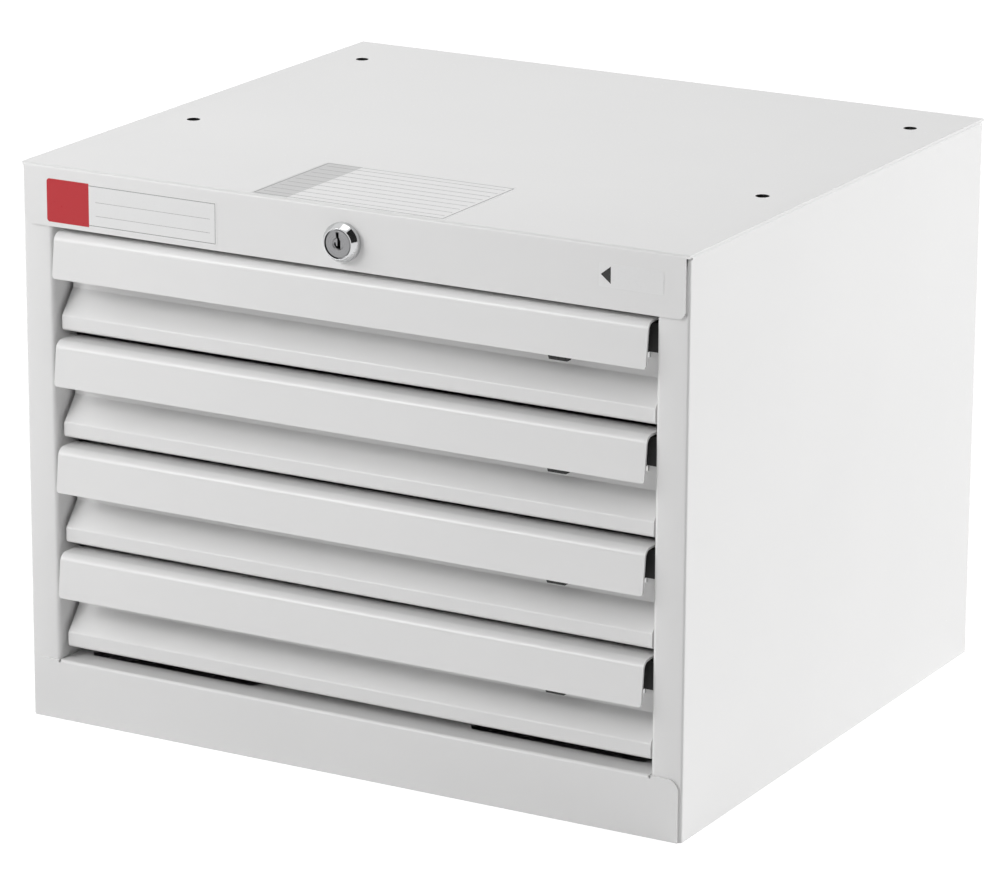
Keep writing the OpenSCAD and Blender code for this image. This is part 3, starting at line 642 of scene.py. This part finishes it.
# Latch springs and slide rivets
coil_spring = coil_spring_form()
rivet_rows = rivet_rows_form()
for drawer in DRAWERS:
    low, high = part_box(drawer + "_latch_spring")
    spring = coil_spring.piece(drawer + "_coil_spring", {
        "Coils": COILS, "Wire": WIRE_D, "Closed pitch": CLOSED_PITCH,
        "Coil radius": (high.z - low.z - WIRE_D) / 2,
        "Open pitch": (high.x - low.x - WIRE_D - 2 * CLOSED_PITCH) / (COILS - 2),
        "Start X": low.x + WIRE_D / 2, "Axis Y": (low.y + high.y) / 2, "Axis Z": (low.z + high.z) / 2})
    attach(spring, drawer)
    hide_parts(drawer + "_latch_spring")
    low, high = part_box(drawer + "_slide_members")
    tray_low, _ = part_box(drawer + "_tray")
    rivets = rivet_rows.piece(drawer + "_slide_rivets", {
        "Count": RIVETS, "Step": (high.y - low.y - 2 * RIVET_INSET) / (RIVETS - 1),
        "Wall X": -tray_low.x - TRAY_T, "First Y": low.y + RIVET_INSET, "Row Z": (low.z + high.z) / 2})
    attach(rivets, drawer)

TAG.made("contents_tag", label_film("contents_tag", contents_tag))
LIST.made("packing_list", label_film("packing_list", packing_list))
ARROW.made("latch_arrow", label_film("latch_arrow", left_arrow))


def camera():
    """The photograph's camera, from where the foot of the front stands in its view."""
    level = math.cos(ELEVATION)
    back = Vector((math.sin(AZIMUTH) * level, -math.cos(AZIMUTH) * level, math.sin(ELEVATION)))
    flat_right = Vector((math.cos(AZIMUTH), math.sin(AZIMUTH), 0))
    flat_up = back.cross(flat_right)
    right = math.cos(ROLL) * flat_right + math.sin(ROLL) * flat_up
    up = math.cos(ROLL) * flat_up - math.sin(ROLL) * flat_right
    place = FOOT - right * FOOT_SEEN.x - up * FOOT_SEEN.y + back * FOOT_SEEN.z
    lens = bpy.data.cameras.new("camera")
    lens.sensor_width = SENSOR_MM
    lens.lens = SENSOR_MM * FOCAL_PX / IMAGE_W
    lens.clip_end = 50
    seen_by = bpy.data.objects.new("camera", lens)
    seen_by.matrix_world = Matrix.Translation(place) @ Matrix((right, up, back)).transposed().to_4x4()
    bpy.context.scene.collection.objects.link(seen_by)
    bpy.context.scene.camera = seen_by


def soft_light(name, place, aim, size, power, mirrored=True):
    """A rectangular lamp. Where it isn't mirrored, glossy paint shows no image of it."""
    lamp = bpy.data.lights.new(name, "AREA")
    lamp.shape = "RECTANGLE"
    lamp.size, lamp.size_y = size
    lamp.energy = power
    light = bpy.data.objects.new(name, lamp)
    light.location = place
    light.rotation_euler = (Vector(aim) - Vector(place)).to_track_quat("-Z", "Y").to_euler()
    light.visible_glossy = mirrored
    bpy.context.scene.collection.objects.link(light)


def seen_directly(tree):
    """1 for a ray that the camera sees straight, in a mirror or through glass."""
    path = tree.nodes.new("ShaderNodeLightPath")
    camera_ray = Value(tree, path.outputs["Is Camera Ray"])
    glossy_ray = Value(tree, path.outputs["Is Glossy Ray"])
    glass_ray = Value(tree, path.outputs["Is Transmission Ray"])
    return camera_ray.at_least(glossy_ray).at_least(glass_ray)


def studio():
    """White surroundings, a pale floor and soft lamps."""
    world = bpy.data.worlds.new("studio")
    bpy.context.scene.world = world
    world.use_nodes = True
    background = world.node_tree.nodes["Background"]
    background.inputs["Color"].default_value = grey(1.0)
    seen = seen_directly(world.node_tree)
    put(world.node_tree, background.inputs["Strength"], SKY + (1.0 - SKY) * seen)
    floor_mesh = bpy.data.meshes.new("floor")
    corners = [(x * FLOOR_REACH, y * FLOOR_REACH, 0) for x, y in ((-1, -1), (1, -1), (1, 1), (-1, 1))]
    floor_mesh.from_pydata(corners, [], [(0, 1, 2, 3)])
    paint = Finish("pale_floor")
    diffuse = paint.add("ShaderNodeBsdfDiffuse", {}, {"Color": grey(FLOOR_GREY)})
    glow = paint.add("ShaderNodeEmission", {}, {"Color": grey(1.0), "Strength": FLOOR_GLOW})
    share = FLOOR_GLOW_SHARE * seen_directly(paint.tree)
    shader = paint.add("ShaderNodeMixShader", {}, {0: share, 1: diffuse, 2: glow})
    paint.add("ShaderNodeOutputMaterial", {}, {"Surface": shader})
    floor_mesh.materials.append(paint.material)
    ground = new_object("floor", floor_mesh)
    ground.location.z = -FLOOR_DROP
    soft_light("key_front_left", (-1.54, -1.4, 1.4), (0, -0.1, 0.18), (1.8, 1.5), 26.5, mirrored=False)
    # A small lamp that draws the bright line along each fold
    soft_light("fold_spark", (-1.17, -2.0, 1.42), (0, -0.2, 0.18), (0.7, 0.6), 11)
    # Far behind the right side, so that the corner between stile and side stays darker than both
    soft_light("side_right", (7.5, 6.0, 3.2), (0.2, 0, 0.18), (4.8, 4.8), 808, mirrored=False)
    soft_light("overhead", (0.0, 0.0, 3.0), (0, 0, 0.2), (1.6, 1.6), 10)


def dark_flag():
    """A black card on the right that only polished metal shows, as a photographer sets one for chrome."""
    card = bpy.data.meshes.new("dark_flag")
    arc = [math.radians(angle) for angle in FLAG_ARC]
    rim = [LOCK + Vector((FLAG_R * math.cos(a), side * FLAG_HALF - 0.2 * FLAG_R, FLAG_R * math.sin(a)))
           for a in arc for side in (-1, 1)]
    card.from_pydata(rim, [], [(2 * k, 2 * k + 1, 2 * k + 3, 2 * k + 2) for k in range(len(arc) - 1)])
    cloth = Finish("black_cloth")
    card.materials.append(cloth.surface({"Base Color": grey(0.02), "Roughness": 0.9}))
    flag = new_object("dark_flag", card)
    flag.visible_camera = flag.visible_diffuse = flag.visible_shadow = False
    flag.visible_transmission = flag.visible_volume_scatter = False


camera()
studio()
dark_flag()
bpy.context.scene.view_settings.view_transform = "Standard"
